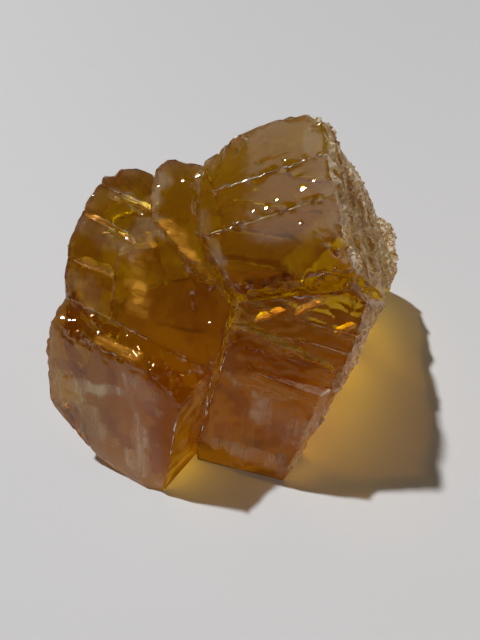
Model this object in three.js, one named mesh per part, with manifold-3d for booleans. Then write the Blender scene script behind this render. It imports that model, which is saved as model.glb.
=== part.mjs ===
// Raw honey calcite: several blocky crystals grown together in one natural piece.
// Millimetres, +Z up, resting on its flat underside. Seen from the front (-Y), the tall
// crystal is on the right, the stepped ones are on the left, and the frosted flank faces +X.
import * as THREE from "three";
import { ConvexGeometry } from "three/addons/geometries/ConvexGeometry.js";
import { mergeVertices } from "three/addons/utils/BufferGeometryUtils.js";
import Module from "manifold-3d";

const wasm = await Module();
wasm.setup();

// Directions of the crystal faces, pointing out of the stone.
const GLASSY_FACE = direction(-0.06, -0.64, 0.76); // broad clear faces, leaning to the front
const STEEP_FACE = direction(-0.28, -0.84, 0.46); // fronts of the lower crystals
const STRIATED_FACE = direction(-0.03, -0.88, 0.475); // stepped front of the tall crystal
const STRIATED_UP = direction(0, 0.475, 0.88); // straight up that front
const STRIATED_TREAD = direction(0.22, -0.08, 0.97); // treads of its steps, lower to the right
const FLANK_FACE = direction(0.83, -0.11, 0.54); // pale frosted flank on the right
const FLANK_GRAIN = direction(0.29, -0.74, -0.6); // the way the grooves of the flank run
const BACK_FACE = direction(-0.06, 0.96, 0.28); // stepped break at the back

// Corners of the crystals. Each list begins with the upper rim and ends on the ground.
const TALL_TOP = [
  [-6.8, 11.8, 59.5], [-3.2, 13.4, 61.2], [-1.2, 14.5, 62.2], [6, 16.6, 64.5], [11.8, 17.4, 65.7],
  [14.8, 15.9, 64.5], [18.2, 6.4, 55.6], [21.9, -5.2, 47.5], [-0.4, -7.7, 43.7],
  [-5, -2.8, 47.4], [-7.2, 0, 49.5], [-8.4, 5, 53.6],
  [18.6, 22.6, 58.4], [22.8, 23.4, 52], [28.4, 24.9, 43.6], [33, 25.4, 36.5],
  [32.2, -0.8, 32.2], [36.5, 14, 29], [27, -2, 14],
  [-9, 24, 34], [4, 32, 30], [22, 33, 30],
  [-8, 8, 0], [-3, -5, 0], [18, -8, 0], [31, 8, 0], [30, 28, 0], [8, 38, 0], [-12, 34, 0],
];
const TALL_FRONT = [
  [-0.4, -9.6, 42], [8, -10.6, 42], [15.4, -9.8, 43.2], [21.9, -8.2, 45], [24.2, -10, 43.4],
  [22, -15.6, 32], [18.4, -20.6, 23], [17.6, -20.2, 27], [-4.4, -15.4, 26.6],
  [-10.4, -24, 5], [7.5, -29.7, 5], [11, -30, 6], [32.2, -1.6, 31.8], [29, -5.8, 28],
  [25.3, -11, 25], [22.8, -14.9, 20], [20.2, -17.8, 16], [18.3, -21, 13], [15.9, -24.8, 9],
  [-10.6, -26, 0], [10.4, -31.2, 0], [24, -8, 0], [12, 4, 0], [-2, -2, 0],
  [2, 0, 30], [20, 2, 30],
];
const COLUMN = [
  [-16.7, 14.2, 55], [-14.3, 15.2, 56], [-12.9, 15.5, 56.4], [-9.5, 14.8, 56.1], [-6.6, 14.7, 56.2],
  [-6, 2.6, 46.2], [-1, -4.8, 40.4], [-5.1, -3.1, 41.6], [-8.1, -1.4, 42.8], [-11.2, 0.8, 44.4],
  [-13.2, 4, 46.9], [-15.6, 6.2, 48.5], [-18.2, 7.7, 49.6], [-18.2, 10.2, 51.6],
  [-20, 28, 24], [-4, 32, 24], [-19, 31, 0], [-2, 34, 0], [-2, -4, 0], [-17, 6, 0],
];
const MIDDLE_CRYSTAL = [
  [-27.7, -8.4, 32.4], [-18.9, -11.3, 30.7], [-10.8, -14.3, 28.8], [-5.9, -16.3, 27.5],
  [-3.7, -12.2, 31], [-1, -3.5, 38.6], [-8, 0.6, 41.6], [-15, 10.3, 50], [-19, 11.4, 50],
  [-25.5, 4, 42.9],
  [-28, 24, 10], [-2, 24, 10], [-8, -20.5, 12],
  [-10, -25, 0], [-2, -10, 0], [-26, -20, 0], [-26, 22, 0], [0, 20, 0],
];
const UPPER_LEFT_CRYSTAL = [
  [-36, -5.2, 34.4], [-37.4, 1, 39.3], [-35.9, 6, 43.6], [-32.9, 10.8, 48], [-28.3, 15, 52.1],
  [-24.8, 16.4, 53.5], [-21.4, 16.3, 53.9], [-17.7, 15.1, 53.3],
  [-18.6, 10.2, 49.4], [-24, 4.9, 44.6], [-26.2, -4.4, 36.6], [-27, -8.8, 32.8],
  [-39.4, -2, 28], [-39.4, 12, 24], [-30, 27, 22], [-16, 29, 22],
  [-35, -12, 0], [-36, 8, 0], [-28, 27, 0], [-12, 33, 0], [-14, -12, 0],
];
const FRONT_CRYSTAL = [
  [-40.1, -8, 33.6], [-32.3, -11.7, 32.1], [-23, -16.5, 30.5], [-18.4, -18.4, 29.9],
  [-38.8, -5.4, 35], [-37.2, -3.6, 36.2], [-27.7, -8.6, 32.3], [-18.9, -11.4, 30.6],
  [-10.8, -14.3, 28.6], [-5.9, -16.3, 27.2], [-7.7, -17.3, 26.2], [-12.4, -23.3, 25.7],
  [-42.3, -9.7, 28], [-43.6, -14.3, 20], [-44, -16.8, 15], [-43.2, -18, 13.2], [-41.8, -19.2, 11.8],
  [-39.1, -22.2, 8.2], [-34.8, -24.9, 6.2],
  [-28.3, -28.2, 5], [-20.9, -31.3, 5], [-16.6, -31.9, 7], [-14.9, -28.1, 15.2],
  [-35.4, -24.2, 0], [-32.3, -27.7, 0], [-28, -29.4, 0], [-21.9, -33.2, 0], [-18.2, -33.6, 0],
  [-10, -23.5, 0], [-7.4, -19.6, 14], [-37, -4, 0], [-12, -4, 0],
];
const BACK_LOBE = [
  [34, 26, 33], [38.6, 28, 28.4], [42, 34, 20.5], [40.4, 21, 24.8], [40.6, 15.5, 22.6],
  [38.4, 11, 23.6], [34.8, 5.4, 27.6], [30, 10, 28], [37, 36.5, 19], [28, 34, 26], [24, 37, 12],
  [38, 34, 8], [39, 20, 10], [30, 8, 10], [33, 30, 0], [31, 12, 0], [18, 34, 0],
];

// Cleavage steps. Each of the `count` steps cuts `setback` deeper and starts `rise` higher.
const STRIATION = { start: [9, -17.4, 27], rise: 4.6, setback: 0.35, count: 4 };
const TALL_STEPS = {
  face: GLASSY_FACE, side: direction(-0.3, 0.72, 0.61), depth: 0.35,
  starts: [[5.3, 3.1, 53.2], [7.2, 9.8, 58.9]],
};
const TALL_BACK_STEPS = {
  face: BACK_FACE, side: direction(-0.4, 0.2, -0.9), depth: 1.2,
  starts: [[8, 28, 42], [9, 32.6, 29], [4, 35, 18], [0, 36.8, 8]],
};
const LEFT_STEPS = {
  face: GLASSY_FACE, side: direction(-0.46, -0.62, -0.56), depth: 0.35,
  starts: [[-22.2, 11.4, 49.7], [-28.6, 8.7, 46.9], [-25.7, 6.4, 45.2]],
};
const LEFT_BACK_STEPS = {
  face: BACK_FACE, side: direction(0.45, 0.2, -0.87), depth: 1.1,
  starts: [[-26, 23.5, 34], [-22, 27.6, 20]],
};

// Shell-shaped chips along worn edges: both ends of the edge, how many, how wide, how deep.
const CHIPPED_EDGES = [
  { from: [0, -7.9, 43.8], to: [21, -6.4, 47.4], chips: 7, radius: 5, bite: 0.9 },
  { from: [14.6, 15.9, 64.3], to: [21.5, -4.5, 48], chips: 6, radius: 6, bite: 0.8 },
  { from: [-6.8, 11.8, 59.5], to: [11.8, 17.4, 65.7], chips: 5, radius: 7, bite: 0.9 },
  { from: [-40.1, -8, 33.6], to: [-18.4, -18.4, 29.9], chips: 5, radius: 4.5, bite: 0.7 },
  { from: [-12.4, -23.3, 25.7], to: [-16.6, -31.9, 7], chips: 3, radius: 6, bite: 0.5 },
  { from: [-36.5, 4, 42], to: [-22, 16.4, 53.8], chips: 4, radius: 7, bite: 0.9 },
];
const HEART = [0, 6, 12]; // a point deep inside the stone

// How finely the surface is divided, and how far it wanders from the flat.
const FACET = 6;
const FLANK_FACET = 3.2;
const GLASSY_WANDER = 0.14;
const STEEP_WANDER = 0.3;
const BROKEN_WANDER = 0.8;
const LUMPS = [{ size: 7, share: 1 }, { size: 2.6, share: 0.4 }];

// Grooves of the flank, which lies beyond `out` along FLANK_FACE and above `up`.
const FLANK = { out: 42.5, up: 20 };
const GROOVE_DEPTH = 1;
const GROOVES = [{ length: 16, width: 3.6, share: 1 }, { length: 6, width: 2, share: 0.5 }];

const ON_GROUND = 0.01; // a corner lower than this stays on the ground
const OFF_GROUND = 0.1; // and no other corner comes lower than this
const REACH = 90; // more than the stone is across

// Corners of a unit cell.
const CUBE = [0, 1, 2, 3, 4, 5, 6, 7].map((n) => [n & 1, (n >> 1) & 1, n >> 2]);

function direction(x, y, z) {
  return new THREE.Vector3(x, y, z).normalize();
}

function point([x, y, z]) {
  return new THREE.Vector3(x, y, z);
}

// A repeatable number from 0 to 1 for a corner of the noise lattice.
function scatter(x, y, z) {
  let mix = Math.imul(x, 374761393) ^ Math.imul(y, 668265263) ^ Math.imul(z, 2147483647);
  mix = Math.imul(mix ^ (mix >>> 13), 1274126177);
  return ((mix ^ (mix >>> 16)) >>> 0) / 4294967295;
}

// Smooth noise from -1 to 1.
function noise(x, y, z) {
  const cell = [x, y, z].map(Math.floor);
  const [u, v, w] = [x, y, z].map((value, axis) => THREE.MathUtils.smoothstep(value - cell[axis], 0, 1));
  let sum = 0;
  for (const [i, j, k] of CUBE) {
    const share = (i ? u : 1 - u) * (j ? v : 1 - v) * (k ? w : 1 - w);
    sum += share * scatter(cell[0] + i, cell[1] + j, cell[2] + k);
  }
  return 2 * sum - 1;
}

function solid(geometry) {
  geometry.deleteAttribute("normal");
  geometry.deleteAttribute("uv");
  const merged = mergeVertices(geometry, 1e-4);
  return new wasm.Manifold(new wasm.Mesh({
    numProp: 3,
    vertProperties: new Float32Array(merged.attributes.position.array),
    triVerts: new Uint32Array(merged.index.array),
  }));
}

function crystal(corners) {
  return solid(new ConvexGeometry(corners.map(point)));
}

// A wedge that removes what lies in front of `face` and beyond `side` at a point.
function notch(at, face, side) {
  const along = new THREE.Vector3().crossVectors(face, side).normalize();
  const beyond = new THREE.Vector3().crossVectors(along, face).normalize();
  const outward = new THREE.Vector3().crossVectors(side, along).normalize();
  const corners = [];
  for (const [far, out, end] of CUBE) {
    corners.push(at.clone().addScaledVector(along, (2 * end - 1) * REACH)
      .addScaledVector(beyond, far * REACH).addScaledVector(outward, out * REACH));
  }
  return solid(new ConvexGeometry(corners));
}

// The crystal with steps across one of its faces, each cut deeper than the one before it.
function stepped(block, { face, side, depth, starts }) {
  starts.forEach((start, index) => {
    const at = point(start).addScaledVector(face, -depth * (index + 1));
    block = block.subtract(notch(at, face, side));
  });
  return block;
}

function tallFront() {
  let front = crystal(TALL_FRONT);
  for (let step = 0; step < STRIATION.count; step++) {
    const at = point(STRIATION.start);
    at.addScaledVector(STRIATED_UP, step * STRIATION.rise);
    at.addScaledVector(STRIATED_FACE, -step * STRIATION.setback);
    front = front.subtract(notch(at, STRIATED_FACE, STRIATED_TREAD));
  }
  return front;
}

// Balls that touch an edge from outside and bite shell-shaped chips out of it.
function chip(whole, { from, to, chips, radius, bite }, index) {
  for (let n = 0; n < chips; n++) {
    const share = (n + 0.2 + 0.6 * scatter(n, index, 1)) / chips;
    const at = point(from).lerp(point(to), share);
    const size = radius * (0.7 + 0.6 * scatter(n, index, 2));
    const outward = at.clone().sub(point(HEART)).normalize().lerp(GLASSY_FACE, 0.5).normalize();
    const ball = new THREE.IcosahedronGeometry(size);
    ball.rotateX(n).rotateY(index);
    at.addScaledVector(outward, size - bite * (0.5 + scatter(n, index, 3)));
    ball.translate(at.x, at.y, at.z);
    whole = whole.subtract(solid(ball));
  }
  return whole;
}

function stone() {
  const crystals = [
    [TALL_STEPS, TALL_BACK_STEPS].reduce(stepped, crystal(TALL_TOP)),
    tallFront(),
    crystal(COLUMN),
    crystal(MIDDLE_CRYSTAL),
    [LEFT_STEPS, LEFT_BACK_STEPS].reduce(stepped, crystal(UPPER_LEFT_CRYSTAL)),
    crystal(FRONT_CRYSTAL),
    crystal(BACK_LOBE),
  ];
  const grown = crystals.reduce((whole, block) => whole.add(block));
  return CHIPPED_EDGES.reduce(chip, grown);
}

// Splits every side longer than the size wanted at its middle, until none is left.
function divide(points, faces) {
  for (;;) {
    const middles = new Map();
    const middle = (a, b) => {
      const key = a < b ? `${a} ${b}` : `${b} ${a}`;
      if (!middles.has(key)) {
        const half = points[a].clone().lerp(points[b], 0.5);
        const long = points[a].distanceTo(points[b]) > facetSize(half);
        middles.set(key, long ? points.push(half) - 1 : -1);
      }
      return middles.get(key);
    };
    const divided = faces.flatMap((face) => splitFace(face, middle, points));
    if (divided.length === faces.length) return faces;
    faces = divided;
  }
}

// One face as one to four faces, depending on how many of its sides have a middle.
function splitFace(face, middle, points) {
  const mid = face.map((corner, n) => middle(corner, face[(n + 1) % 3]));
  const split = mid.filter((m) => m >= 0).length;
  if (split === 0) return [face];
  if (split === 3) {
    return [[face[0], mid[0], mid[2]], [face[1], mid[1], mid[0]], [face[2], mid[2], mid[1]], mid];
  }
  const turn = split === 1 ? mid.findIndex((m) => m >= 0) : (mid.findIndex((m) => m < 0) + 1) % 3;
  const [a, b, c] = [0, 1, 2].map((n) => face[(turn + n) % 3]);
  const [ab, bc] = [mid[turn], mid[(turn + 1) % 3]];
  if (split === 1) return [[a, ab, c], [ab, b, c]];
  const fan = points[a].distanceTo(points[bc]) < points[ab].distanceTo(points[c])
    ? [[a, ab, bc], [a, bc, c]]
    : [[a, ab, c], [ab, bc, c]];
  return [[ab, b, bc], ...fan];
}

function facetSize(at) {
  return onFlank(at) ? FLANK_FACET : FACET;
}

function onFlank({ x, y, z }) {
  return FLANK_FACE.dot({ x, y, z }) > FLANK.out && z > FLANK.up;
}

// How far the surface is pushed out at a point whose face looks along `normal`.
function wander(at, normal) {
  if (normal.dot(FLANK_FACE) > 0.9) return GROOVE_DEPTH * grooves(at);
  if (normal.dot(GLASSY_FACE) > 0.96) return GLASSY_WANDER * lumps(at);
  if (normal.dot(STEEP_FACE) > 0.9) return STEEP_WANDER * lumps(at);
  return BROKEN_WANDER * lumps(at);
}

function lumps({ x, y, z }) {
  return LUMPS.reduce((sum, { size, share }) => sum + share * noise(x / size, y / size, z / size), 0);
}

// Long narrow hollows and ridges that run along the grain of the flank.
function grooves(at) {
  const along = at.dot(FLANK_GRAIN);
  const across = at.dot(new THREE.Vector3().crossVectors(FLANK_FACE, FLANK_GRAIN));
  return GROOVES.reduce((sum, { length, width, share }, row) =>
    sum + share * noise(along / length, across / width, row), 0);
}

// The joined crystals with natural, slightly uneven faces. The underside stays flat.
function weathered(whole) {
  const mesh = whole.getMesh();
  const points = [];
  for (let n = 0; n < mesh.vertProperties.length; n += 3) {
    points.push(new THREE.Vector3().fromArray(mesh.vertProperties, n));
  }
  const coarse = [];
  for (let n = 0; n < mesh.triVerts.length; n += 3) coarse.push([...mesh.triVerts.slice(n, n + 3)]);
  const faces = divide(points, coarse);
  const push = points.map(() => new THREE.Vector3());
  const weight = points.map(() => 0);
  for (const face of faces) {
    const [a, b, c] = face.map((corner) => points[corner]);
    const cross = b.clone().sub(a).cross(c.clone().sub(a));
    const area = cross.length();
    const normal = cross.clone().normalize();
    for (const corner of face) {
      push[corner].addScaledVector(cross, wander(points[corner], normal));
      weight[corner] += area;
    }
  }
  const moved = points.map((at, n) => {
    if (at.z < ON_GROUND) return at.clone().setZ(0);
    const shifted = at.clone().addScaledVector(push[n], 1 / weight[n]);
    return shifted.setZ(Math.max(shifted.z, OFF_GROUND));
  });
  const geometry = new THREE.BufferGeometry().setFromPoints(moved);
  geometry.setIndex(faces.flat());
  return geometry;
}

// Puts the middle of the underside of the box round the stone at the origin.
function centred(geometry) {
  geometry.computeBoundingBox();
  const box = geometry.boundingBox;
  const middle = box.getCenter(new THREE.Vector3());
  return geometry.translate(-middle.x, -middle.y, -box.min.z);
}

const calcite = new THREE.MeshStandardMaterial({ color: 0xc47a1e, roughness: 0.25, metalness: 0 });
const piece = new THREE.Mesh(centred(weathered(stone())), calcite);
piece.name = "raw_calcite";

const root = new THREE.Group();
root.add(piece);
export default root;
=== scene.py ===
import math

import bpy
import numpy as np
from bpy.props import FloatProperty, FloatVectorProperty, IntProperty, PointerProperty
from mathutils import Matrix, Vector
from mathutils.bvhtree import BVHTree


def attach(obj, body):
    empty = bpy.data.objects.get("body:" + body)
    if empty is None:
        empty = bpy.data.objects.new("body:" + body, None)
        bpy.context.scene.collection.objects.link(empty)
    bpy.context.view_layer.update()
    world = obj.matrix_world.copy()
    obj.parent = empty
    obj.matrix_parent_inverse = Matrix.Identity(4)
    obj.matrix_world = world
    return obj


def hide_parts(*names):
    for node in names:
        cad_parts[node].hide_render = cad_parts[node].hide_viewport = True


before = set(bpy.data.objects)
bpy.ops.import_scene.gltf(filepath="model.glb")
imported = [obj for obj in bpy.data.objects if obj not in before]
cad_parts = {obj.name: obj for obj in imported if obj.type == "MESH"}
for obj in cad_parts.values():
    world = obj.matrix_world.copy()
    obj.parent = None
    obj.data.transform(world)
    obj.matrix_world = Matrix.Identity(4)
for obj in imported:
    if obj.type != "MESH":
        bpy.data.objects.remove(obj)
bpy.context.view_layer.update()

bl_info = {
    "name": "Raw Honey Calcite",
    "version": (1, 0, 0),
    "blender": (4, 5, 0),
    "location": "3D View > Sidebar > Calcite",
    "description": "Builds a clear honey calcite specimen, grown together from several crystals",
    "category": "Object",
}

NODE = "raw_calcite"
MM = 0.001

# Directions in the frame: those of faces point out of the stone, and grains and rises run along a face.
GLASSY_FACE = Vector((-0.06, -0.64, 0.76)).normalized()
STEEP_FACE = Vector((-0.28, -0.84, 0.46)).normalized()
STRIATED_FACE = Vector((-0.03, -0.88, 0.475)).normalized()
STRIATED_UP = Vector((0, 0.475, 0.88)).normalized()
LEDGE_FACE = Vector((-0.02, -0.08, 1)).normalized()
FLANK_FACE = Vector((0.83, -0.11, 0.54)).normalized()
FLANK_GRAIN = Vector((0.29, -0.74, -0.6)).normalized()
GLINT_FACE = Vector((-0.35, -0.2, 0.91)).normalized()
CRACK_FACE = Vector((-0.2, -0.14, 0.97)).normalized()
STEP_RISE = Vector((-0.57, 0.65, 0.51)).normalized()
STREAK_GRAIN = Vector((0.94, -0.29, -0.17)).normalized()
UPRIGHT_GRAIN = Vector((0.1, 0.45, 0.88)).normalized()

# How far out the planes of the faces lie along their own directions, in millimetres.
CLEAR_FACES_OUT = (39.4, 35.1, 32.9)
LEDGE_OUT = 31.1
FLANK_OUT = 40.0

# The camera stands over the front of the stone and looks down at it, and the lamp stands behind it.
CAMERA_PLACE = Vector((0.97, -67.8, 117)) * MM
CAMERA_PITCH = math.radians(55)
FOCAL_PIXELS = 481
FRAME_HEIGHT = 640
SENSOR = 32.0
LAMP_FROM = Vector((-0.545, 0.593, 1.0))
LAMP_COLOUR = (1.0, 0.99, 0.98)

# The soft lights, one overhead and a low one to the right, then the room and the floor. Lengths are in
# metres.
CEILING_PLACE = Vector((0.093, -0.25, 0.6))
CEILING_SIZE = (0.3, 0.23)
FILL_PLACE = Vector((0.42, -0.03, 0.05))
FILL_FROM = Vector((1, 0, 0.12))
FILL_SIZE = (0.3, 0.07)
FILL_SPREAD = math.radians(60)
FILL_COLOUR = (1.0, 0.82, 0.62)
ROOM_COLOUR = (1.0, 0.98, 0.97)
FLOOR_SIZE = 3.0
FLOOR_DROP = 0.05 * MM  # keeps the floor clear of the flat underside

# Places on the faces are given as seen along this direction, from the front and above: how far to the
# right and how far up that view, in millimetres from the middle of the base.
SEEN_ALONG = Vector((0, math.cos(CAMERA_PITCH), -math.sin(CAMERA_PITCH)))

# Cleavage cracks, open to the surface: both ends of the mouth, how deep it runs in millimetres, and by
# how many degrees it dips from the way that flashes in the lamp.
CRACKS = (
    ((-31, 33.5), (-25.5, 31), 1.2, 6),
    ((-25, 37), (-17.5, 34), 2.5, 17),
    ((-28, 30), (-21, 27.5), 2.5, 17),
    ((-34.5, 24), (-26, 21), 3.5, 18),
    ((4, 11), (10, 13.5), 2.5, 6),
    ((12, 12.5), (17, 15), 2.5, 9),
    ((20, 8.5), (24.5, 10.5), 2, 8),
    ((-0.5, 10.5), (11.5, 5), 4, 18),
    ((10.5, 5.5), (21, 0.5), 3, 18),
)

# Soft bands: both ends, half the width at each in millimetres, and the strength.
PALE_BANDS = (  # milky
    ((-36, -3.5), (-25.5, -4), 2.2, 1.4, 0.9),
    ((-35, -7), (-32.5, -14.5), 3.5, 4.5, 0.5),
    ((-21.5, -9.5), (-22.5, -22.5), 1.2, 3.4, 1),
    ((-23.5, 0), (-21.5, -9.5), 0.8, 1.2, 0.6),
    ((-21, -1.5), (-18, -6), 2.5, 3.5, 0.5),
    ((-30.5, 31), (-23.5, 27), 2.5, 2.5, 0.2),
    ((-35, 21), (-31, 16.5), 2.5, 3.5, 0.2),
    ((-22, 27), (-17.5, 31), 2.5, 3.5, 0.3),
    ((-17, 36.5), (-15, 39.5), 1.8, 2, 0.5),
    ((-7.5, 38.5), (-6, 30.5), 1.2, 1.2, 0.3),
    ((-6, 30.5), (-3, 23), 1.2, 1.2, 0.25),
    ((-25, 38), (-18.5, 34.5), 1.2, 1.4, 0.4),
    ((14, 46.5), (17.5, 35.5), 2, 1.8, 0.35),
    ((17.5, 35.5), (21, 23.5), 1.8, 1, 0.2),
    ((6, -8), (13.5, -12.5), 4, 5, 0.6),
    ((-5, -17.5), (8.5, -21), 2, 3, 0.55),
    ((-2, 0), (0.5, -2.5), 1, 1.5, 0.5),
    ((13, 14.5), (16.5, 15.5), 1.2, 1, 0.5),
    ((-39.5, 0), (-40.5, -7), 1.5, 2, 0.4),
)
PAINTED_GLOW_BANDS = (  # fine fractures; the light they pass on is painted as an opaque orange glow
    ((-14, 31), (-11, 27), 1.8, 1.6, 1),
    ((-11, 27), (-5, 20), 1.6, 0.6, 1),
    ((-20.5, 24.5), (-20.5, 14.5), 2.5, 3, 0.3),
    ((-20.5, 19), (-20, 16.5), 1.2, 1.5, 0.9),
    ((-31, 33.5), (-25.5, 31), 0.7, 0.6, 0.9),
    ((6, 12), (8, 13), 1, 0.8, 0.8),
    ((21.5, 9), (23.5, 10), 0.8, 0.7, 0.8),
    ((-28, 7.5), (-21, 4), 1.5, 1.5, 0.5),
    ((-9, -11), (-7, -2), 1, 1.2, 0.4),
    ((-18, 29.5), (-17, 27), 0.5, 0.6, 0.8),
)
RED_BANDS = (  # browner bands: partly stains, partly painted shade where faces look dark
    ((-15, -1), (-16.5, -21), 3.5, 3.5, 1),
    ((-9.5, -17), (-6, -1), 3, 3, 1),
    ((-35, 24), (-30, 17), 4, 4, 0.5),
    ((-14, -4), (-10.5, -4.5), 3, 3, 0.8),
    ((-11, 25), (-6.5, 18), 2.5, 2.5, 0.8),
    ((0, -5), (3, -12), 3, 4, 0.6),
    ((-27, 40.5), (-18.5, 39.5), 3.5, 3.5, 0.9),
    ((-16, 22), (-2, 6.5), 7, 5, 0.6),
    ((1, 5.5), (13.5, 0), 2.5, 3, 0.8),
    ((-34.5, 9.5), (-28.5, 5.5), 3, 3, 0.6),
    ((-31, 31), (-31, 19), 5, 6, 0.9),
    ((-27, 38), (-21, 33), 5, 5, 0.6),
    ((-11, 41), (-12, 33), 4, 4, 0.5),
    ((18, 23), (27, 14), 3.5, 3.5, 0.9),
    ((-1, 2), (15, 2), 3, 3, 0.8),
    ((-39, 2), (-27, -0.5), 2.5, 2.5, 0.5),
    ((-30, -9), (-26, -16), 2.5, 3, 0.5),
    ((-3, -15), (11, -14), 4, 4, 0.45),
    ((3, 17.5), (24, 19), 2.5, 2.5, 1),
    ((-6.5, 27), (-1, 17.5), 1.5, 1.5, 0.9),
    ((-0.5, 15.5), (-6.5, -8), 1.3, 1.3, 1),
)

# Small round chips that glint: where they are and how large, in millimetres.
CHIPS = (
    (-0.5, 44.5, 1.3), (6, 40, 0.5), (9.5, 42, 0.35), (-3.5, 36.5, 0.5), (13, 36.5, 0.7), (15, 38, 0.35),
    (16.5, 34, 0.5), (8, 34.5, 0.4), (6, 33, 0.5), (0.5, 30.5, 0.55), (-1.5, 29.5, 0.45), (-3.5, 28, 0.5),
    (13.2, 19.2, 0.5), (15.8, 20, 0.4), (17, 20.5, 0.5), (19.3, 21.4, 0.4), (12.5, 30, 0.4),
    (3.5, 32.5, 0.35), (-7.5, 40.5, 0.6), (2, 18, 0.7), (-10.5, 39.5, 0.5), (-15.5, 38.5, 0.4),
    (-19.5, 33.5, 0.4), (-22.5, 28.5, 0.6), (-29.5, 37.5, 0.4), (-36.5, 20, 0.35), (-36.5, 12, 0.6),
    (-35, 11.5, 0.4), (-34, 11.5, 0.4), (-33, 9, 0.5), (-28.5, 9, 0.6), (-25, 7, 0.5), (-15, 4, 0.6),
    (-21.5, 4, 0.4), (-13, -0.5, 0.5), (-11.5, 0, 0.35), (-10.5, 0, 0.5), (-5.5, 11, 0.35),
)

# How near a normal has to come to the direction of each kind of face to count as one, as cosines: not at
# all at the first, and wholly at the second.
FACE_FITS = {
    "glassy": (GLASSY_FACE, 0.93, 0.985),
    "striated": (STRIATED_FACE, 0.93, 0.985),
    "steep": (STEEP_FACE, 0.93, 0.975),
    "flank": (FLANK_FACE, 0.6, 0.85),
    "ledge": (LEDGE_FACE, 0.84, 0.92),
}

# What the mesh keeps at its points for the material: kinds of face, worn edges, cracks and the bands above.
KEPT = ("flank", "steep", "striated", "side", "back", "ledge", "broken", "crack", "worn", "pale", "painted_glow",
        "red", "under", "shaded_shine")

# Relief, in millimetres.
SWELL = 0.03  # slow waves of the clear faces
STEP_SPACING = 5.5  # from one low step of the clear faces to the next
STEP_RISER = 0.045  # share of that spacing that rises
STEP_FADE = 0.35  # share of that spacing over which a step dies away
STRIATION_SPACING = 1.9
STRIATION_RISER = 0.4  # share of that spacing that rises
STRIATION_WEIGHT = 2.4  # how strong the striations are, next to the low steps
FLUTES = 0.1  # upright, on the steep fronts
DENTS = 0.07  # between the flutes
SCALE_LENGTH = 2.2  # of the small scales of the flank
NICK_DEPTH = 0.3
NICK_GRAIN = 0.12  # fine unevenness between the nicks
NICKED_WIDTH = 1.2  # how far from the edges both reach
WORN_WIDTH = 0.9  # how far from the edges the stone looks worn
FOOT = 1.5  # the relief grows to its full depth over this height above the ground

# Flat-sided pits: how deep they are as a share of their size, and the size in millimetres.
STRIATED_PITS = (0.25, 2.6)
FRONT_PITS = (0.06, 5)
LEDGE_PITS = ((0.55, 1.9), (0.3, 4.2))
BREAK_PITS = ((0.4, 6), (0.35, 2.2))
PIT_LEVEL = 0.45  # share of the size at which a pit is level with the face

# How strong each kind of relief is on the frosted flank.
GROOVES, HOLLOWS, FLAKES, SCALES = 0.6, 0.5, 0.8, 0.9

# Chips, as shares of their radius.
FACET_RISE = 0.35  # the facet starts this far uphill of the middle
FACET_DOME = 0.03  # and drops this far to its rim
CHIP_WALL = (0.85, 1.15)  # where the wall round it starts and ends
CHIP_AROUND = 1.5  # the face is measured this far round a chip
CHIP_FINE = 1.2  # and divided finely this far round it
CHIP_SIDE = 0.25  # into sides of this length

# How soft bands wander, in lumps of that size in millimetres, and the shares of their width where they
# begin to fade and end.
BAND_WANDER = 0.6
BAND_LUMPS = 1.8
BAND_FADE = (0.45, 1.2)

# The mesh: how often sides are halved and points smoothed, how long sides may be as shares of the fine
# side, and lengths in millimetres.
DIVISIONS = 7
SMOOTHING = 40
EDGE_SMOOTHING = 6  # rounds in which crisp edges move too
EDGE_ROUNDS = 12  # sides over which the distance to an edge is added up
EDGE_REACH = 3
PLAIN_SIDE = 1.55
RISER_SIDE = 0.6
RISER_MARGIN = 0.04  # share of the step spacing below a riser that is divided finely too
SHORTEST_SIDE = 0.15
GROUND = 0.02  # what is lower rests on the ground and stays flat
CLEARANCE = 0.05  # and what is higher stays this far above it
CRACK_MARGIN = 0.06
SHADE_ANGLE = math.radians(28)  # edges sharper than this are shaded as edges

# Numbers that scatter the cells of a lattice: they mix the bits of its coordinates.
SEED_SHIFT = 31.7  # how far apart in it two seeds start
LATTICE_STEPS = (73856093, 19349663, 83492791)
CHANNEL_STEP = 6291469
FIRST_FACTOR = 1274126177
SECOND_FACTOR = 2246822519
ALL_BITS = 0xFFFFFFFF


# ---------------------------------------------------------------- settings


class CalciteSettings(bpy.types.PropertyGroup):
    fine_side: FloatProperty(
        name="Fine side", description="Longest triangle side where the surface is rough",
        default=0.67 * MM, unit="LENGTH")
    coarse_side: FloatProperty(
        name="Coarse side", description="Longest triangle side on the plain back",
        default=1.8 * MM, unit="LENGTH")
    sharp_angle: FloatProperty(
        name="Sharp angle", description="Edges of the solid sharper than this stay crisp",
        default=math.radians(17), subtype="ANGLE")
    groove_depth: FloatProperty(
        name="Groove depth", description="Depth of the grooves in the frosted flank",
        default=0.8 * MM, unit="LENGTH")
    step_depth: FloatProperty(
        name="Step depth", description="Height of the fine cleavage steps",
        default=0.05 * MM, unit="LENGTH")
    body_colour: FloatVectorProperty(
        name="Body colour", description="What the stone lets through, seen deep in it",
        default=(0.971, 0.944, 0.0), subtype="COLOR", size=3, min=0, max=1)
    body_density: FloatProperty(
        name="Body density", description="How quickly the stone soaks up light, per metre",
        default=290, min=0)
    refraction: FloatProperty(
        name="Refraction", description="Index of refraction of calcite",
        default=1.6, min=1, max=2)
    frost_colour: FloatVectorProperty(
        name="Frost colour", description="Colour of bruised, frosted stone",
        default=(1.0, 0.9, 0.72), subtype="COLOR", size=3, min=0, max=1)
    seed: IntProperty(name="Seed", description="Where the noise starts", default=4)


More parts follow.
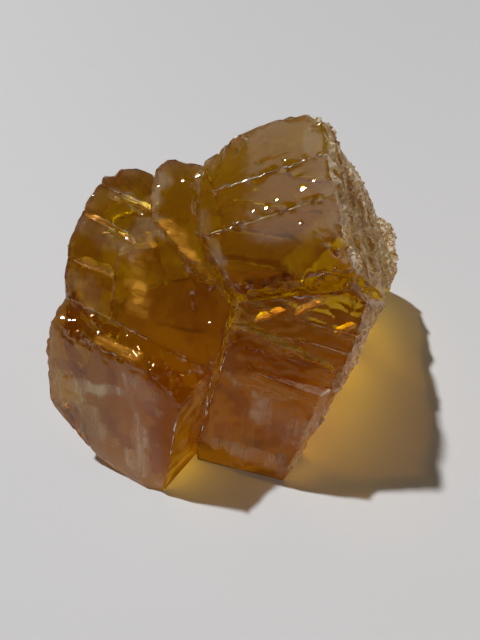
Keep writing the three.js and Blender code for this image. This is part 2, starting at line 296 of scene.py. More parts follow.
class StudioSettings(bpy.types.PropertyGroup):
    floor_colour: FloatVectorProperty(
        name="Floor colour", description="Colour of the plain floor",
        default=(0.6, 0.6, 0.61), subtype="COLOR", size=3, min=0, max=1)
    lamp_strength: FloatProperty(
        name="Lamp strength", description="Strength of the small lamp behind the stone", default=3.45)
    lamp_angle: FloatProperty(
        name="Lamp angle", description="How large the lamp looks from the stone",
        default=math.radians(2.2), subtype="ANGLE")
    ceiling_power: FloatProperty(
        name="Ceiling power", description="Power of the large soft light overhead", default=0.2,
        unit="POWER")
    fill_power: FloatProperty(
        name="Fill power", description="Power of the low soft light to the right", default=0.045,
        unit="POWER")
    ambient: FloatProperty(
        name="Ambient", description="Strength of the light from all round", default=0.025)


# ---------------------------------------------------------------- the surface of the stone


def noise(points, size, seed):
    """Smooth noise from -1 to 1, in lumps of about that size."""
    at = points / size + SEED_SHIFT * seed
    cell = np.floor(at).astype(np.int64)
    share = at - cell
    share = share ** 3 * (share * (6 * share - 15) + 10)
    total = np.zeros(len(points))
    for corner in np.ndindex(2, 2, 2):
        weight = np.where(corner, share, 1 - share).prod(axis=1)
        total += weight * scatter(cell + corner)
    return 2 * total - 1


def scatter(cell, channel=0):
    """A repeatable number from 0 to 1 for each cell of a lattice."""
    mix = cell @ np.array(LATTICE_STEPS) + channel * CHANNEL_STEP
    mix = (mix ^ (mix >> 13)) * FIRST_FACTOR & ALL_BITS
    mix = (mix ^ (mix >> 16)) * SECOND_FACTOR & ALL_BITS
    return (mix ^ (mix >> 15)) / ALL_BITS


def smooth_step(low, high, value):
    """0 below low and 1 above high, with a smooth change between."""
    share = np.clip((value - low) / (high - low), 0, 1)
    return share * share * (3 - 2 * share)


def unit_rows(rows):
    return rows / np.maximum(np.linalg.norm(rows, axis=1, keepdims=True), 1e-12)


def mesh_arrays(mesh):
    """The points and triangles of a mesh, in millimetres, with shared corners merged."""
    mesh.calc_loop_triangles()
    points = np.zeros(len(mesh.vertices) * 3)
    mesh.vertices.foreach_get("co", points)
    corners = np.zeros(len(mesh.loop_triangles) * 3, np.int32)
    mesh.loop_triangles.foreach_get("vertices", corners)
    keys = np.round(points.reshape(-1, 3) / MM, 4)
    merged, first, index = np.unique(keys, axis=0, return_index=True, return_inverse=True)
    faces = index.reshape(-1)[corners].reshape(-1, 3)
    whole = (faces[:, 0] != faces[:, 1]) & (faces[:, 1] != faces[:, 2]) & (faces[:, 2] != faces[:, 0])
    return merged, faces[whole]


def sides_of(faces, count):
    """Every side once, and the number of the side from each corner to the next."""
    ends = faces[:, [0, 1, 1, 2, 2, 0]].reshape(-1, 2)
    low, high = ends.min(axis=1), ends.max(axis=1)
    keys, number = np.unique(low * count + high, return_inverse=True)
    return np.stack([keys // count, keys % count], axis=1), number.reshape(-1, 3)


def divided(points, faces, longest):
    """Halves every side longer than `longest` gives for its middle, a few times over."""
    for _ in range(DIVISIONS):
        sides, number = sides_of(faces, len(points))
        ends = points[sides]
        middle = ends.mean(axis=1)
        long = np.linalg.norm(ends[:, 0] - ends[:, 1], axis=1) > longest(middle)
        new = np.full(len(sides), -1)
        new[long] = len(points) + np.arange(long.sum())
        points = np.vstack([points, middle[long]])
        faces = split_faces(points, faces, new[number])
    return points, faces


def split_faces(points, faces, middles):
    """Each face as one to four, depending on which of its sides have a middle."""
    count = (middles >= 0).sum(axis=1)
    done = [faces[count == 0]]
    turn = np.where(count == 1, (middles >= 0).argmax(axis=1), ((middles < 0).argmax(axis=1) + 1) % 3)
    order = (turn[:, None] + np.arange(3)) % 3
    a, b, c = np.take_along_axis(faces, order, 1).T
    ab, bc, ca = np.take_along_axis(middles, order, 1).T
    one, two, three = count == 1, count == 2, count == 3
    from_a = np.linalg.norm(points[a] - points[bc], axis=1)
    short = from_a < np.linalg.norm(points[ab] - points[c], axis=1)
    for chosen, corners in (
        (one, (a, ab, c)), (one, (ab, b, c)),
        (two, (ab, b, bc)),
        (two & short, (a, ab, bc)), (two & short, (a, bc, c)),
        (two & ~short, (a, ab, c)), (two & ~short, (ab, bc, c)),
        (three, (a, ab, ca)), (three, (ab, b, bc)), (three, (ca, bc, c)), (three, (ab, bc, ca)),
    ):
        done.append(np.stack(corners, axis=1)[chosen])
    return np.vstack(done)


def face_normals(points, faces):
    """The way each face looks, longer the larger the face is."""
    a, b, c = (points[faces[:, n]] for n in range(3))
    return np.cross(b - a, c - a)


def point_normals(points, faces):
    """The way the surface looks at each point."""
    crosses = face_normals(points, faces)
    total = np.zeros_like(points)
    for axis in range(3):
        for corner in range(3):
            total[:, axis] += np.bincount(faces[:, corner], crosses[:, axis], len(points))
    return unit_rows(total)


def crisp_sides(points, faces, angle):
    """All sides, and which of them are sharper than that angle."""
    sides, number = sides_of(faces, len(points))
    normals = unit_rows(face_normals(points, faces))
    total = np.zeros((len(sides), 3))
    for corner in range(3):
        for axis in range(3):
            total[:, axis] += np.bincount(number[:, corner], normals[:, axis], len(sides))
    # two unit normals that differ by an angle add up to 2 cos(angle / 2)
    return sides, np.linalg.norm(total, axis=1) < 2 * math.cos(angle / 2)


def relaxed(points, sides, crisp, still, pull=0.5):
    """Smooths the surface between its crisp edges, and the edges along themselves."""
    count = len(points)
    degree = np.bincount(sides[crisp].ravel(), minlength=count)
    plain = sides[(degree[sides] == 0).any(axis=1)]
    along = sides[crisp]
    fixed = (degree == 1) | (degree > 2) | (points[:, 2] < GROUND) | still
    points = points.copy()
    for number in range(SMOOTHING):
        mean = np.zeros_like(points)
        weight = np.zeros(count)
        for links, wanted in ((plain, degree == 0), (along, degree == 2)):
            for here, there in (links.T, links.T[::-1]):
                on = wanted[here]
                weight += np.bincount(here[on], minlength=count)
                for axis in range(3):
                    mean[:, axis] += np.bincount(here[on], points[there[on], axis], count)
        free = ~fixed & (weight > 0) & ((degree == 0) | (number < EDGE_SMOOTHING))
        mean[free] /= weight[free, None]
        points[free] += pull * (mean[free] - points[free])
    return points


def distance_to_edges(points, sides, crisp):
    """Distance along the surface to the nearest crisp edge, up to EDGE_REACH."""
    far = np.full(len(points), float(EDGE_REACH))
    far[np.unique(sides[crisp])] = 0
    length = np.linalg.norm(points[sides[:, 0]] - points[sides[:, 1]], axis=1)
    for _ in range(EDGE_ROUNDS):
        for here, there in (sides.T, sides.T[::-1]):
            np.minimum.at(far, here, far[there] + length)
    return far


def grain_noise(points, along, normal, long, wide, seed):
    """Noise stretched along one direction of a face."""
    across = normal.cross(along).normalized()
    basis = np.array([along / long, across / wide, normal / wide])
    return noise(points @ basis.T, 1, seed)


def staircase(height, rise, riser):
    """A ramp turned into flat treads with short risers between them."""
    level = np.floor(height / rise)
    share = height / rise - level
    return rise * (level + smooth_step(1 - riser, 1, share)) - height


def lip(turns):
    """Once each turn, a steep short riser up to 1 that dies away again past it."""
    share = turns % 1
    return smooth_step(1 - STEP_RISER, 1, share) + (share < 0.5) * (1 - smooth_step(0, STEP_FADE, share))


def broken(points, size, seed):
    """Flat-sided pits of about that size, as where a crystal was broken off."""
    basis = np.array([GLASSY_FACE, GLINT_FACE, FLANK_FACE])
    at = points @ basis.T / size
    cell = np.floor(at).astype(np.int64)
    nearest = np.full(len(points), np.inf)
    for shift in np.ndindex(3, 3, 3):
        other = cell + np.array(shift) - 1
        place = other + np.stack([scatter(other, seed + n) for n in range(3)], axis=1)
        nearest = np.minimum(nearest, np.abs(at - place).max(axis=1))
    return size * (nearest - PIT_LEVEL)


def step_height(points, seed):
    """How far up the low steps of the clear faces a point is: the noise bends the steps."""
    return (points @ np.array(STEP_RISE) + 1.6 * noise(points, size=9, seed=seed)
            + 0.4 * noise(points, size=2.3, seed=seed + 1))


def regions(points, normals):
    """How far each point belongs to each kind of face, from 0 to 1."""
    x, y, z = points.T
    fits = {name: smooth_step(low, high, normals @ np.array(face))
            for name, (face, low, high) in FACE_FITS.items()}
    # only the upper part of the tall crystal's front is striated
    fits["striated"] *= smooth_step(-9, -5, x)
    fits["striated"] *= smooth_step(23.5, 25.5, z + 0.25 * x)
    fits["steep"] *= (1 - fits["striated"]) * (1 - fits["glassy"])
    fits["ledge"] *= 1 - fits["glassy"]
    fits["side"] = smooth_step(0.45, 0.65, normals[:, 0]) * (1 - fits["flank"]) * (y < 6)
    fits["flank"] *= smooth_step(8, 12, x)
    fits["back"] = smooth_step(0, 0.3, normals[:, 1]) * (1 - fits["flank"]) * (1 - fits["ledge"])
    fits["broken"] = np.clip(1 - sum(fits.values()), 0, 1)
    fits["under"] = smooth_step(0.5, 0.7, -normals[:, 2])
    # faces whose shine is dimmed and tinted amber: painted shade in their reflections
    shaded_shine = fits["steep"] * smooth_step(-19, -15, x) + fits["striated"] + fits["side"] + fits["broken"]
    fits["shaded_shine"] = np.clip(shaded_shine, 0, 1)
    return fits


def weathered(points, fits, edge, s):
    """How far each point moves out along its normal, in millimetres."""
    seed = s.seed
    steps = s.step_depth / MM
    inner = smooth_step(0, 1, edge)
    out = np.zeros(len(points))

    # clear faces: nearly flat, with a few low growth steps that come and go
    patchy = smooth_step(0.1, 0.5, noise(points, size=4, seed=seed + 13))
    lips = patchy * steps * lip(step_height(points, seed) / STEP_SPACING)
    out += fits["glassy"] * inner * (SWELL * noise(points, size=8, seed=seed + 2) + lips)

    # upper front of the tall crystal: fine striations, lower to the right
    climb = points @ np.array(STRIATED_UP) + 0.28 * points[:, 0]
    climb += 0.7 * noise(points, size=6, seed=seed + 3)
    uneven = 0.3 + 0.7 * smooth_step(-0.5, 0.5, noise(points, size=5, seed=seed + 15))
    striations = staircase(climb, STRIATION_SPACING, STRIATION_RISER)
    out += fits["striated"] * inner * uneven * STRIATION_WEIGHT * steps * striations
    share, size = STRIATED_PITS
    out += fits["striated"] * inner * share * broken(points, size, seed + 16)

    # steep fronts: shallow upright flutes and dents
    flutes = grain_noise(points, UPRIGHT_GRAIN, STEEP_FACE, long=9, wide=2.4, seed=seed + 4)
    out += fits["steep"] * inner * (FLUTES * flutes + DENTS * noise(points, size=2.6, seed=seed + 5))
    share, size = FRONT_PITS
    out += fits["steep"] * inner * share * broken(points, size, seed + 6)

    out += fits["flank"] * smooth_step(0, 0.8, edge) * (s.groove_depth / MM) * flank_relief(points, seed)

    # ledges and breaks: flat-sided pits, weaker on the back
    (deep, small), (shallow, large) = LEDGE_PITS
    pits = deep * broken(points, small, seed + 9) + shallow * broken(points, large, seed + 18)
    out += fits["ledge"] * inner * pits
    (deep, large), (shallow, small) = BREAK_PITS
    pits = deep * broken(points, large, seed + 10) + shallow * broken(points, small, seed + 11)
    out += fits["broken"] * (1 - 0.6 * fits["back"]) * inner * pits

    # worn edges: small nicks
    at_edge = 1 - smooth_step(0, NICKED_WIDTH, edge)
    nicks = smooth_step(0.1, 0.6, noise(points, size=1.5, seed=seed + 12)) * at_edge
    return out - NICK_DEPTH * nicks + NICK_GRAIN * noise(points, size=1.1, seed=seed + 19) * at_edge


def flank_relief(points, seed):
    """The frosted flank: long narrow grooves, with flakes, hollows and small scales between them."""
    grooves = grain_noise(points, FLANK_GRAIN, FLANK_FACE, long=6, wide=1.5, seed=seed + 7)
    hollows = grain_noise(points, FLANK_GRAIN, FLANK_FACE, long=2.2, wide=0.8, seed=seed + 8)
    flakes = broken(points, size=2.4, seed=seed + 17)
    scales = points @ np.array(FLANK_GRAIN) / SCALE_LENGTH
    scales += 1.5 * grain_noise(points, FLANK_GRAIN, FLANK_FACE, long=5, wide=1.2, seed=seed + 20)
    scales -= np.floor(scales)
    return GROOVES * grooves + HOLLOWS * hollows + FLAKES * flakes + SCALES * scales


def glint(place):
    """The way a facet faces where it throws the lamp's light at the camera."""
    to_camera = np.array(CAMERA_PLACE) / MM - place
    half = to_camera / np.linalg.norm(to_camera) + np.array(LAMP_FROM.normalized())
    return half / np.linalg.norm(half)


def chipped(offset, normals, radius, facet):
    """How deep a chip goes: a small, slightly domed facet that slants down and ends at a wall."""
    off = np.linalg.norm(offset, axis=1) / radius
    flat = normals[off < max(off.min(), CHIP_AROUND)].sum(axis=0)
    flat /= np.linalg.norm(flat)
    downhill = facet - (facet @ flat) * flat
    slope = np.linalg.norm(downhill) / (facet @ flat)
    run = offset @ downhill / np.linalg.norm(downhill)
    depth = slope * (run + FACET_RISE * radius) + FACET_DOME * radius * off ** 2
    return np.maximum(depth, 0) * (1 - smooth_step(*CHIP_WALL, off))


def wanted_side(points, chips, s):
    """How long a triangle's side may be at a point: short where the surface is rough or stepped."""
    fine, coarse = s.fine_side / MM, s.coarse_side / MM
    x, y, z = points.T
    side = np.full(len(points), PLAIN_SIDE * fine)
    flank = points @ np.array(FLANK_FACE) > FLANK_OUT
    ledge = (x < -3) & (y < -3) & (np.abs(points @ np.array(LEDGE_FACE) - LEDGE_OUT) < 3)
    side[flank | ledge] = fine
    share = step_height(points, s.seed) / STEP_SPACING % 1
    clear = np.min([np.abs(points @ np.array(GLASSY_FACE) - out) for out in CLEAR_FACES_OUT], axis=0) < 1
    side[clear & (share > 1 - STEP_RISER - RISER_MARGIN)] = RISER_SIDE * fine
    side[(y > 12 + 0.15 * z) & ~(flank | ledge)] = coarse  # the plain back
    for place, radius in chips:
        near = np.linalg.norm(points - place, axis=1) < CHIP_FINE * radius
        side[near] = np.maximum(CHIP_SIDE * radius, SHORTEST_SIDE)
    return side


def stone_mesh(s):
    """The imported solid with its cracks, divided finely and weathered."""
    solid = mesh_arrays(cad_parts[NODE].data)
    surface = Surface(*solid)
    cracks = [Crack(surface.place(*start), surface.place(*end), depth, dip, seed)
              for seed, (start, end, depth, dip) in enumerate(CRACKS)]
    chips = [(surface.place(right, up), radius) for right, up, radius in CHIPS]
    points, faces = cracked(*solid, cracks)
    points, faces = divided(points, faces, lambda middle: wanted_side(middle, chips, s))
    sides, crisp = crisp_sides(points, faces, s.sharp_angle)
    inside = np.any([crack.near(points, CRACK_MARGIN) for crack in cracks], axis=0)
    points = relaxed(points, sides, crisp, inside)
    edge = distance_to_edges(points, sides, crisp)
    normals = point_normals(points, faces)
    ground = points[:, 2] < GROUND
    fits = regions(points, normals)
    lift = smooth_step(0, FOOT, points[:, 2]) * ~inside
    moved = points + normals * (weathered(points, fits, edge, s) * lift)[:, None]
    for place, radius in chips:
        moved -= normals * chipped(points - place, normals, radius, glint(place))[:, None]
    moved[~ground, 2] = np.maximum(moved[~ground, 2], CLEARANCE)
    moved[ground, 2] = 0
    fits = {name: fit * ~inside for name, fit in fits.items()}
    fits.update(crack=inside, worn=1 - smooth_step(0, WORN_WIDTH, edge))
    open_face = ~inside & (normals[:, 1] < 0.2)  # neither in a crack nor on the back
    for seed, (name, bands) in enumerate((("pale", PALE_BANDS), ("painted_glow", PAINTED_GLOW_BANDS), ("red", RED_BANDS))):
        fits[name] = banded(points, bands, surface, seed + 30) * open_face
    return moved, faces, fits


class Surface:
    """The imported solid, to find the places that the lists give."""

    RUN_UP = 200  # how far off the search for a place starts, in millimetres

    def __init__(self, points, faces):
        self.tree = BVHTree.FromPolygons(points.tolist(), faces.tolist())
        self.up = SEEN_ALONG.cross(Vector((-1, 0, 0)))

    def place(self, right, up):
        """The nearest point of the stone, that far to the right and up along SEEN_ALONG."""
        start = Vector((right, 0, 0)) + up * self.up - self.RUN_UP * SEEN_ALONG
        hit = self.tree.ray_cast(start, SEEN_ALONG)[0]
        if hit is None:
            raise ValueError(f"There is no stone {right} mm to the right and {up} mm up")
        return np.array(hit)


def banded(points, bands, surface, seed):
    """How strongly each point lies in soft bands."""
    total = np.zeros(len(points))
    for start, end, start_half, end_half, strength in bands:
        start, end = surface.place(*start), surface.place(*end)
        along = end - start
        share = np.clip((points - start) @ along / (along @ along), 0, 1)
        off = np.linalg.norm(points - start - np.outer(share, along), axis=1)
        off = off / (start_half + share * (end_half - start_half))
        off += BAND_WANDER * noise(points, BAND_LUMPS, seed)
        total = np.maximum(total, strength * (1 - smooth_step(*BAND_FADE, off)))
    return total


def add_mesh(name, points, faces):
    """A new object in the scene, from points in millimetres."""
    mesh = bpy.data.meshes.new(name)
    mesh.from_pydata((points * MM).tolist(), [], faces.tolist())
    mesh.validate()
    piece = bpy.data.objects.new(name, mesh)
    bpy.context.scene.collection.objects.link(piece)
    return piece


class Crack:
    """One thin crack that runs in from its mouth on the surface, nearly level, with wavy walls."""

    # all in millimetres
    MOUTH = 0.16
    TIP = 0.03
    OUTSIDE = 1.2  # how far its walls run on out of the stone
    LIP = 0.5  # how far out of the mouth a point still counts as on the walls
    CELL = 0.7
    WAVES = ((0.3, 3.4), (0.07, 0.8))  # how high they are, and how long

    def __init__(self, start, end, depth, dip, seed):
        self.start = start
        self.length = np.linalg.norm(end - self.start)
        self.along = (end - self.start) / self.length
        flash = np.array(CRACK_FACE) - (np.array(CRACK_FACE) @ self.along) * self.along
        flash /= np.linalg.norm(flash)
        dip = math.radians(dip)
        self.face = math.cos(dip) * flash + math.sin(dip) * np.cross(flash, self.along)
        self.inward = np.cross(self.face, self.along)
        self.depth = depth
        self.seed = seed

    def wave(self, across, inward):
        """How far the crack bends off its plane."""
        at = np.stack([across, inward, np.full_like(across, self.seed)], axis=1)
        fine = at * np.array([1, 0.25, 1])
        (high, long), (low, short) = self.WAVES
        return high * noise(at, long, self.seed) + low * noise(fine, short, self.seed + 1)

    def reach(self, share):
        """How deep it runs at a share of its length from the start."""
        oval = np.sqrt(np.clip(1 - (2 * share - 1) ** 2, 0, 1))
        return self.depth * oval * (0.85 + 0.15 * np.sin(9 * share))

    def walls(self):
        """The closed thin solid that is taken out of the stone."""
        columns = round(self.length / self.CELL)
        rows = round((self.depth + self.OUTSIDE) / self.CELL)
        shares = np.linspace(0.01, 0.99, columns + 1), np.linspace(0, 1, rows + 1)
        share, down = (part.ravel() for part in np.meshgrid(*shares, indexing="ij"))
        across = share * self.length
        inward = -self.OUTSIDE + down * (self.OUTSIDE + self.reach(share))
        half = self.TIP + (self.MOUTH - self.TIP) * (1 - down) * np.sin(math.pi * share) / 2
        middle = (self.start + np.outer(across, self.along) + np.outer(inward, self.inward)
                  + np.outer(self.wave(across, inward), self.face))
        upper = middle + np.outer(half, self.face)
        lower = middle - np.outer(half, self.face)
        number = np.arange(len(middle)).reshape(columns + 1, rows + 1)
        corners = number[:-1, :-1], number[1:, :-1], number[1:, 1:], number[:-1, 1:]
        a, b, c, d = (part.ravel() for part in corners)
        rim = np.concatenate([number[:, 0], number[-1, 1:], number[-2::-1, -1], number[0, -2:0:-1]])
        ahead = np.roll(rim, -1)
        under = len(middle)
        quads = (
            (a, b, c, d),
            (a + under, d + under, c + under, b + under),
            (rim + under, ahead + under, ahead, rim),
        )
        faces = np.vstack([np.stack(quad, axis=1) for quad in quads])
        return np.vstack([upper, lower]), faces

    def near(self, points, margin):
        """Which points lie on the walls of the crack."""
        offset = points - self.start
        across, inward, off = offset @ self.along, offset @ self.inward, offset @ self.face
        share = across / self.length
        within = (share > 0) & (share < 1) & (inward > -self.LIP) & (inward < self.reach(share) + margin)
        return within & (np.abs(off - self.wave(across, inward)) < self.MOUTH / 2 + margin)


def cracked(points, faces, cracks):
    """The solid with its cracks taken out of it."""
    whole = add_mesh("whole", points, faces)
    for crack in cracks:
        cutter = add_mesh("cutter", *crack.walls())
        cut = whole.modifiers.new("crack", "BOOLEAN")
        cut.solver = "MANIFOLD"
        cut.operation = "DIFFERENCE"
        cut.object = cutter
        evaluated = whole.evaluated_get(bpy.context.evaluated_depsgraph_get())
        mesh = bpy.data.meshes.new_from_object(evaluated)
        whole.modifiers.clear()
        whole.data = mesh
        bpy.data.objects.remove(cutter)
    points, faces = mesh_arrays(whole.data)
    bpy.data.objects.remove(whole)
    return points, faces


def store(mesh, name, values):
    """Keeps a number for each point, for the material to read."""
    layer = mesh.attributes.new(name, "FLOAT", "POINT")
    layer.data.foreach_set("value", values.astype(np.float32))


# ---------------------------------------------------------------- materials


# The Mix node has a set of sockets for each kind of data: these are the numbers of those for colours.
MIX_FACTOR, MIX_FIRST, MIX_SECOND, MIX_RESULT = 0, 6, 7, 2

# Colours of the surface of the stone, clear to frosted, and of its shine.
CLEAR_COLOUR = (1.0, 0.91, 0.75)
BROWN_COLOUR = (0.44, 0.21, 0.08)
PITTED_COLOUR = (0.5, 0.25, 0.09)
HAZE_COLOUR = (0.8, 0.78, 0.48)
# painted glow: an opaque orange, and its shine, where fine fractures pass the light on
PAINTED_GLOW_COLOUR = (1.0, 0.45, 0.05)
CRACK_COLOUR = (1.0, 0.65, 0.3)
# painted shade: the underside is a dark opaque brown where the stone rests on the floor
UNDERSIDE_SHADE_COLOUR = (0.34, 0.205, 0.031)
WHITE = (1.0, 1.0, 1.0)
PAINTED_GLOW_SHINE = (1.0, 0.6, 0.2)
CRACK_SHINE = (1.0, 0.5, 0.12)
# dimmed amber shine: painted shade in the reflections of the fronts, side faces, ledges and breaks
AMBER_SHINE = (0.6, 0.4, 0.15)

# How much light the surface passes on into the shadow: high up on the clear faces, low down and at the
# right side, and where it is frosted.
PASSED_HIGH = (0.475, 0.34, 0.25)
PASSED_LOW = (0.28, 0.165, 0.1)
PASSED_FROST = (0.22, 0.16, 0.1)
LOW, HIGH = 0.005, 0.03  # heights in metres

BUMP_DISTANCE = 0.2 * MM
BUMP_STRENGTH = 0.4


class Socket:
    """A shader socket in Python arithmetic: an expression on it adds Math nodes."""

    def __init__(self, shader, output):
        self.shader = shader
        self.output = output

    def math(self, operation, *terms):
        return self.shader.node("ShaderNodeMath", {"operation": operation}, dict(enumerate(terms)))

    def __add__(self, other):
        return self.math("ADD", self, other)

    def __sub__(self, other):
        return self.math("SUBTRACT", self, other)

    def __rsub__(self, other):
        return self.math("SUBTRACT", other, self)

    def __mul__(self, other):
        return self.math("MULTIPLY", self, other)

    __radd__ = __add__
    __rmul__ = __mul__

    def clamped(self):
        return self.math("MINIMUM", self.math("MAXIMUM", self, 0.0), 1.0)


class Shader:
    """The node tree of one material."""

    STRETCH = 6  # how much longer noise is along its grain

    def __init__(self, material):
        material.use_nodes = True
        self.tree = material.node_tree
        self.tree.nodes.clear()

    def node(self, kind, settings=None, inputs=None, output=0):
        """Adds a node, sets it up, fills its sockets with values or links, and returns an output."""
        node = self.tree.nodes.new(kind)
        for name, value in (settings or {}).items():
            setattr(node, name, value)
        for name, value in (inputs or {}).items():
            socket = node.inputs[name]
            if isinstance(value, Socket):
                self.tree.links.new(value.output, socket)
            else:
                # colours are given without their alpha
                socket.default_value = (*value, 1.0) if socket.type == "RGBA" else value
        return Socket(self, node.outputs[output]) if node.outputs else None

    def attribute(self, name):
        return self.node("ShaderNodeAttribute", {"attribute_name": name}, output="Fac")

    def place(self):
        return self.node("ShaderNodeTexCoord", output="Object")

    def noise(self, scale, detail, roughness, along=None):
        """Noise, stretched along a direction where one is given."""
        vector = self.place()
        if along:
            turn = along.rotation_difference(Vector((1, 0, 0))).to_euler()
            vector = self.node("ShaderNodeMapping", {}, {"Vector": vector, "Rotation": turn})
            longer = (1 / self.STRETCH, 1, 1)
            vector = self.node("ShaderNodeMapping", {}, {"Vector": vector, "Scale": longer})
        return self.node("ShaderNodeTexNoise", {}, {
            "Vector": vector, "Scale": scale, "Detail": detail, "Roughness": roughness})

    def mix(self, factor, first, second):
        """A colour between two colours."""
        return self.node("ShaderNodeMix", {"data_type": "RGBA"}, {
            MIX_FACTOR: factor, MIX_FIRST: first, MIX_SECOND: second}, MIX_RESULT)

    def blend(self, factor, first, second):
        """A surface between two surfaces."""
        return self.node("ShaderNodeMixShader", {}, {0: factor, 1: first, 2: second})

    def band(self, value, low, high):
        """0 below low and 1 above high, with a smooth change between."""
        return self.node("ShaderNodeMapRange", {"interpolation_type": "SMOOTHSTEP"}, {
            "Value": value, "From Min": low, "From Max": high})


def calcite_material(s):
    """Clear stone with an amber body: milky, frosted, cracked and stained in places, with painted shade and
    a painted glow.
    """
    material = bpy.data.materials.new("honey_calcite")
    shader = Shader(material)
    (flank, steep, striated, side, back, ledge, broken, crack, worn, pale, painted_glow, red, under,
     shaded_shine) = (shader.attribute(name) for name in KEPT)

    # milky veils: upright on the steep fronts, slanting across the striated front
    veils = shader.band(shader.noise(170, 4, 0.6, along=UPRIGHT_GRAIN), 0.49, 0.62)
    streaks = shader.band(shader.noise(420, 4, 0.65, along=STREAK_GRAIN), 0.45, 0.7)
    fibres = shader.band(shader.noise(330, 5, 0.7, along=UPRIGHT_GRAIN), 0.42, 0.6)
    milk = (steep * (0.09 * veils + 0.08 * fibres) + striated * (0.05 + 0.32 * streaks)) * (1.0 - 0.8 * red)

    # frost: on the flank, faintly on the back, in chips along the worn edges and in the pale bands
    crumbs = shader.band(shader.noise(1500, 3, 0.6), 0.45, 0.62)
    chips = shader.band(shader.noise(350, 2, 0.6), 0.5, 0.6)
    frost = (flank * (0.75 + 0.25 * crumbs) + back * (0.08 + 0.12 * veils) + worn * crumbs * chips * 0.3
             + pale * (0.25 + 0.3 * veils + 0.4 * fibres)).clamped()
    pitted = flank * shader.band(shader.noise(650, 3, 0.6, along=FLANK_GRAIN), 0.5, 0.6)

    # brown: stains in the stone seen through its faces and the browner bands; and painted shade, as the
    # steep and striated fronts, ledges, breaks and worn edges are made browner
    stain = shader.band(shader.noise(95, 5, 0.6, along=STREAK_GRAIN), 0.42, 0.68)
    brown = (stain * (0.15 + 0.2 * back) + red * (1.0 - 0.4 * veils) + striated * (0.35 - 0.35 * streaks)
             + steep * (0.35 - 0.35 * veils) + 0.35 * ledge + 0.3 * broken + 0.4 * worn).clamped()
    tint = shader.mix(brown, CLEAR_COLOUR, BROWN_COLOUR)

    # fine relief: grain in the frost, dents in the breaks and ripples in the cracks
    grain = shader.noise(2600, 3, 0.7) * (0.5 * frost + 0.002)
    dents = shader.noise(420, 3, 0.55) * (0.2 * broken + 0.002)
    ripples = shader.noise(1100, 2, 0.5) * (0.6 * crack)
    bump = shader.node("ShaderNodeBump", {}, {
        "Strength": BUMP_STRENGTH, "Distance": BUMP_DISTANCE, "Height": grain + dents + ripples})

    def skin(colour, roughness, clearness=0.0, shine=WHITE):
        """One kind of surface: its colour, how rough it is, how much passes it, and its shine."""
        return shader.node("ShaderNodeBsdfPrincipled", {}, {
            "Base Color": colour, "Roughness": roughness, "IOR": s.refraction, "Specular Tint": shine,
            "Transmission Weight": clearness, "Normal": bump})

    clear = skin(tint, 0.1 + 0.4 * back + 0.05 * broken, 1.0)
    # dimmed amber shine on the fronts, side faces, ledges and breaks: painted shade in their reflections
    amber = skin(tint, 0.08 + 0.06 * ledge, 1.0, AMBER_SHINE)
    fracture = skin(CRACK_COLOUR, 0.42, 1.0, CRACK_SHINE)
    hazy = skin(HAZE_COLOUR, 0.6, 0.75)
    frosted = skin(shader.mix(pitted, s.frost_colour, PITTED_COLOUR), 0.65, 0.45)
    # painted glow: an opaque orange surface where fine fractures pass the light on
    painted_glow_surface = skin(PAINTED_GLOW_COLOUR, 0.35, shine=PAINTED_GLOW_SHINE)
    # the rough underside, painted a dark opaque brown: painted shade where the stone rests on the floor
    shaded_underside = skin(UNDERSIDE_SHADE_COLOUR, 0.6)

    comb = shader.band(shader.noise(900, 2, 0.5, along=STREAK_GRAIN), 0.4, 0.6)
    surface = shader.blend((shaded_shine + ledge).clamped(), clear, amber)
    surface = shader.blend(crack, surface, fracture)
    surface = shader.blend(milk.clamped(), surface, hazy)
    surface = shader.blend(frost, surface, frosted)
    # the glow bands are painted on as that opaque orange
    surface = shader.blend((painted_glow * (0.35 + 0.65 * comb)).clamped(), surface, painted_glow_surface)
    surface = shader.blend(under, surface, shaded_underside)

    # the shadow: light goes straight on through the surface, less of it low down and through frost
    height = shader.node("ShaderNodeSeparateXYZ", {}, {0: shader.place()}, "Z")
    low = 1.0 - shader.band(height, LOW, HIGH)
    high_light, low_light, frost_light = (
        shader.node("ShaderNodeBsdfTransparent", {}, {"Color": colour})
        for colour in (PASSED_HIGH, PASSED_LOW, PASSED_FROST))
    shadow = shader.blend((low + side).clamped(), high_light, low_light)
    shadow = shader.blend(frost, shadow, frost_light)
    shadow_ray = shader.node("ShaderNodeLightPath", output="Is Shadow Ray")

    body = shader.node("ShaderNodeVolumeAbsorption", {}, {
        "Color": s.body_colour, "Density": s.body_density})
    shader.node("ShaderNodeOutputMaterial", {}, {
        "Surface": shader.blend(shadow_ray, surface, shadow), "Volume": body})
    return material


def floor_material(s):
    material = bpy.data.materials.new("plain_floor")
    shader = Shader(material)
    surface = shader.node("ShaderNodeBsdfPrincipled", {}, {"Base Color": s.floor_colour, "Roughness": 0.7})
    shader.node("ShaderNodeOutputMaterial", {}, {"Surface": surface})
    return material


# ---------------------------------------------------------------- operators


class CALCITE_OT_stone(bpy.types.Operator):
    """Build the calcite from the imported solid, with its cleavage steps, grooves and broken faces"""
    bl_idname = "calcite.stone"
    bl_label = "Raw Calcite"

    def execute(self, context):
        s = context.scene.calcite
        points, faces, fits = stone_mesh(s)
        piece = add_mesh("calcite_stone", points, faces)
        mesh = piece.data
        mesh.polygons.foreach_set("use_smooth", [True] * len(mesh.polygons))
        mesh.set_sharp_from_angle(angle=SHADE_ANGLE)
        for name in KEPT:
            store(mesh, name, fits[name])
        mesh.materials.append(calcite_material(s))
        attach(piece, "root")
        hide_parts(NODE)
        return {"FINISHED"}


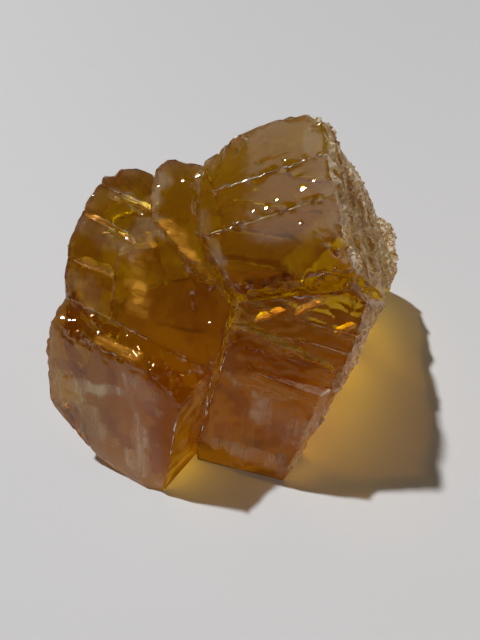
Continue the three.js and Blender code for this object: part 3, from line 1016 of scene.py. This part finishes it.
class CALCITE_OT_stage(bpy.types.Operator):
    """Set up the plain floor, the lights and the camera"""
    bl_idname = "calcite.stage"
    bl_label = "Floor, Lights and Camera"

    def execute(self, context):
        s = context.scene.calcite_studio
        scene = context.scene
        half = FLOOR_SIZE / 2
        mesh = bpy.data.meshes.new("floor")
        mesh.from_pydata([(-half, -half, 0), (half, -half, 0), (half, half, 0), (-half, half, 0)],
                         [], [(0, 1, 2, 3)])
        mesh.materials.append(floor_material(s))
        floor = bpy.data.objects.new("floor", mesh)
        floor.location.z = -FLOOR_DROP
        scene.collection.objects.link(floor)

        lamp = self.light("key_lamp", "SUN", LAMP_FROM, s.lamp_strength)
        lamp.data.angle = s.lamp_angle
        lamp.data.color = LAMP_COLOUR
        self.soft_light("ceiling", CEILING_PLACE, Vector((0, 0, 1)), CEILING_SIZE, s.ceiling_power)
        fill = self.soft_light("fill", FILL_PLACE, FILL_FROM, FILL_SIZE, s.fill_power)
        fill.data.spread = FILL_SPREAD
        fill.data.color = FILL_COLOUR

        world = bpy.data.worlds.new("studio")
        world.use_nodes = True
        back = world.node_tree.nodes["Background"]
        back.inputs["Color"].default_value = (*ROOM_COLOUR, 1.0)
        back.inputs["Strength"].default_value = s.ambient
        scene.world = world

        data = bpy.data.cameras.new("camera")
        data.sensor_fit = "VERTICAL"
        data.sensor_height = SENSOR
        data.lens = SENSOR * FOCAL_PIXELS / FRAME_HEIGHT
        data.clip_start = MM
        camera = bpy.data.objects.new("camera", data)
        camera.location = CAMERA_PLACE
        camera.rotation_euler = (math.pi / 2 - CAMERA_PITCH, 0, 0)
        scene.collection.objects.link(camera)
        scene.camera = camera
        scene.view_settings.view_transform = "Standard"
        return {"FINISHED"}

    @staticmethod
    def light(name, kind, comes_from, strength):
        data = bpy.data.lights.new(name, kind)
        data.energy = strength
        lamp = bpy.data.objects.new(name, data)
        lamp.rotation_euler = comes_from.to_track_quat("Z", "Y").to_euler()
        bpy.context.scene.collection.objects.link(lamp)
        return lamp

    def soft_light(self, name, place, comes_from, size, power):
        lamp = self.light(name, "AREA", comes_from, power)
        lamp.location = place
        lamp.data.shape = "RECTANGLE"
        lamp.data.size, lamp.data.size_y = size
        lamp.visible_camera = False
        return lamp


# ---------------------------------------------------------------- panel and registration


class CALCITE_PT_panel(bpy.types.Panel):
    bl_label = "Raw Honey Calcite"
    bl_space_type = "VIEW_3D"
    bl_region_type = "UI"
    bl_category = "Calcite"

    def draw(self, context):
        for operator, group in (("calcite.stone", "calcite"), ("calcite.stage", "calcite_studio")):
            settings = getattr(context.scene, group)
            self.layout.operator(operator)
            for name in settings.__annotations__:
                self.layout.prop(settings, name)


CLASSES = (CalciteSettings, StudioSettings, CALCITE_OT_stone, CALCITE_OT_stage, CALCITE_PT_panel)


def register():
    for kind in CLASSES:
        bpy.utils.register_class(kind)
    bpy.types.Scene.calcite = PointerProperty(type=CalciteSettings)
    bpy.types.Scene.calcite_studio = PointerProperty(type=StudioSettings)


def unregister():
    del bpy.types.Scene.calcite_studio
    del bpy.types.Scene.calcite
    for kind in reversed(CLASSES):
        bpy.utils.unregister_class(kind)


def main():
    register()
    bpy.ops.calcite.stone()
    bpy.ops.calcite.stage()


if __name__ == "__main__":
    main()
